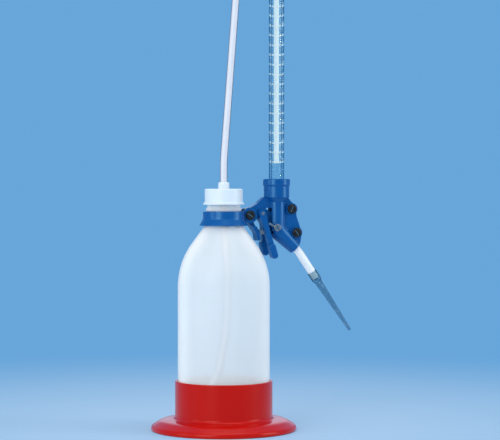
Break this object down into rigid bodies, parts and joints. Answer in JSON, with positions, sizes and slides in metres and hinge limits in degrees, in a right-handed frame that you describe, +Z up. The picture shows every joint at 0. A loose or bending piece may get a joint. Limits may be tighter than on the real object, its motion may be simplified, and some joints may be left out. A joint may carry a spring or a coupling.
{
  "type": "automatic burette",
  "caption": "Automatic burette: squeeze bottle in a round foot, riser tube, graduated glass tube and a pinch clamp with two spring levers and an angled jet.",
  "frame": {"origin": "centre of the foot's underside, on the bottle's axis", "axes": "+Z up along the bottle and the graduated tube, +X from the bottle to the graduated tube, -Y the side with the screw heads"},
  "size_m": [0.1717, 0.1184, 0.6819],
  "materials": {
    "foot_red": "gloss",
    "bottle_translucent": "satin, milky",
    "cap_white": "satin",
    "seal_grey": "soft",
    "tube_white": "satin",
    "clamp_blue": "gloss",
    "head_white": "satin",
    "clear_glass": "polished",
    "hose_white": "soft, translucent",
    "jet_grey": "clear, tinted",
    "screw_dark": "dark oxide",
    "spring_steel": "bright drawn",
    "nickel": "nickel plate"
  },
  "bodies": {
    "stand": {"base_foot": "foot_red", "bottle": "bottle_translucent", "riser_tube": "tube_white", "swan_neck": "clear_glass", "head_cap": "head_white", "burette_tube": "clear_glass", "tube_gasket": "seal_grey", "collar_sleeve": "clamp_blue", "outlet_hose": "hose_white", "jet_tip": "jet_grey", "neck_ring": "clamp_blue", "housing_front": "clamp_blue", "housing_back": "clamp_blue", "ring_screw": "screw_dark", "upper_screw": "screw_dark", "lower_screw": "screw_dark", "ring_nut": "screw_dark", "upper_nut": "screw_dark", "lower_nut": "screw_dark", "lever_pin": "nickel", "front_spring": "spring_steel", "back_spring": "spring_steel"},
    "gland": {"tube_gland": "cap_white", "sealing_washer": "seal_grey"},
    "cap": {"screw_cap": "cap_white"},
    "front_lever": {"front_lever": "clamp_blue"},
    "back_lever": {"back_lever": "clamp_blue"},
    "regulator": {"regulator_screw": "nickel"}
  },
  "joints": [
    {"name": "front_lever_hinge", "type": "hinge", "parent": "stand", "child": "front_lever", "pos_m": [0.0308, 0, 0.1764], "axis": [0, 1, 0], "range_deg": [0, 8.5], "stiffness_Nm_per_rad": 0.05, "springref_deg": -17.19, "deforming": ["front_spring", "outlet_hose"]},
    {"name": "back_lever_hinge", "type": "hinge", "parent": "stand", "child": "back_lever", "pos_m": [0.0308, 0, 0.1764], "axis": [0, 1, 0], "range_deg": [0, 6.5], "stiffness_Nm_per_rad": 0.05, "springref_deg": -17.19, "deforming": ["back_spring", "outlet_hose"]},
    {"name": "regulator_turn", "type": "hinge", "parent": "stand", "child": "regulator", "pos_m": [0.0432, -0.0085, 0.1647], "axis": [0, 1, 0], "range_deg": [0, 90]},
    {"name": "cap_rise", "type": "slide", "parent": "stand", "child": "gland", "axis": [0, 0, 1], "range_m": [0, 0.00526]},
    {"name": "cap_turn", "type": "hinge", "parent": "gland", "child": "cap", "pos_m": [0, 0, 0.19], "axis": [0, 0, 1], "range_deg": [0, 630]}
  ],
  "couplings": [
    {"joint": "cap_rise", "follows": "cap_turn", "m_per_rad": 0.00047746}
  ]
}
